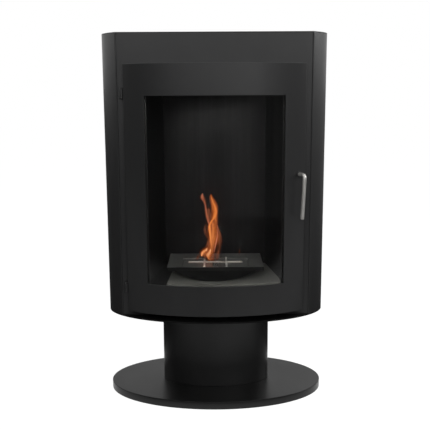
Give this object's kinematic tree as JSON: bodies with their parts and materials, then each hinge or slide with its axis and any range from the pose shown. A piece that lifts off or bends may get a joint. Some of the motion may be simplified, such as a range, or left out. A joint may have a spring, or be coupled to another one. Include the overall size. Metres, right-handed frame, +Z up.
{
  "type": "bioethanol fireplace",
  "caption": "Free-standing black steel bioethanol fireplace: oval foot and pedestal, oval body with a bowed glass door on side hinges, turning lever, and a burner with a sliding lid.",
  "frame": {"origin": "middle of the oval foot's footprint, on the floor", "axes": "+Z up, front (door) towards -Y, hinge side at -X, handle side at +X"},
  "size_m": [0.6, 0.336, 0.985],
  "materials": {
    "black_steel": "satin black stove paint",
    "black_liner": "gloss black enamel",
    "stainless": "brushed",
    "dark_steel": "heat-darkened brushed steel",
    "zinc_steel": "zinc plated",
    "ceramic_glass": "clear heat-proof glass",
    "grey_slab": "matte pressed mineral board",
    "wool": "white ceramic fibre",
    "seal": "black glass-fibre tape",
    "rubber": "matte"
  },
  "bodies": {
    "stove": {"foot_shell": "black_steel", "foot_ballast": "black_steel", "foot_pads": "rubber", "pedestal_column": "black_steel", "pedestal_foot_flange": "black_steel", "pedestal_head_flange": "black_steel", "foot_bolts": "zinc_steel", "body_bolts": "zinc_steel", "body_bottom_plate": "black_steel", "outer_shell": "black_steel", "top_plate": "black_steel", "front_frame": "black_steel", "firebox_floor": "black_liner", "firebox_liner": "black_liner", "firebox_ceiling": "black_liner", "hearth_slab": "grey_slab", "floor_supports": "zinc_steel", "liner_spacers": "zinc_steel", "burner_top_plate": "dark_steel", "burner_trough": "black_steel", "fuel_tub": "stainless", "ceramic_wool": "wool", "burner_deck": "dark_steel", "slot_lining": "stainless", "lid_guides": "stainless", "lower_frame_bracket": "black_steel", "lower_hinge_pin": "zinc_steel", "upper_frame_bracket": "black_steel", "upper_hinge_pin": "zinc_steel", "bracket_screws": "zinc_steel", "latch_keeper": "zinc_steel", "keeper_screws": "zinc_steel"},
    "door": {"door_skin": "black_steel", "door_bottom_cap": "black_steel", "door_top_cap": "black_steel", "door_glass": "ceramic_glass", "glass_gasket": "seal", "glass_clips": "zinc_steel", "clip_nuts": "zinc_steel", "lower_door_knuckle": "black_steel", "upper_door_knuckle": "black_steel", "handle_bush": "stainless", "bush_nut": "zinc_steel"},
    "handle": {"handle_lever": "stainless", "latch_spindle": "stainless", "latch_tongue": "zinc_steel", "spindle_nut": "zinc_steel"},
    "lid": {"slide_lid": "dark_steel", "lid_tab": "dark_steel"}
  },
  "joints": [
    {"name": "door_hinge", "type": "hinge", "parent": "stove", "child": "door", "pos_m": [-0.24109, -0.0778, 0.5], "axis": [0, 0, -1], "range_deg": [0, 110]},
    {"name": "handle_turn", "type": "hinge", "parent": "door", "child": "handle", "pos_m": [0.21909, -0.09384, 0.621], "axis": [0.4763, -0.8793, 0], "range_deg": [0, 75]},
    {"name": "lid_slide", "type": "slide", "parent": "stove", "child": "lid", "axis": [0, 1, 0], "range_m": [0, 0.038]}
  ]
}
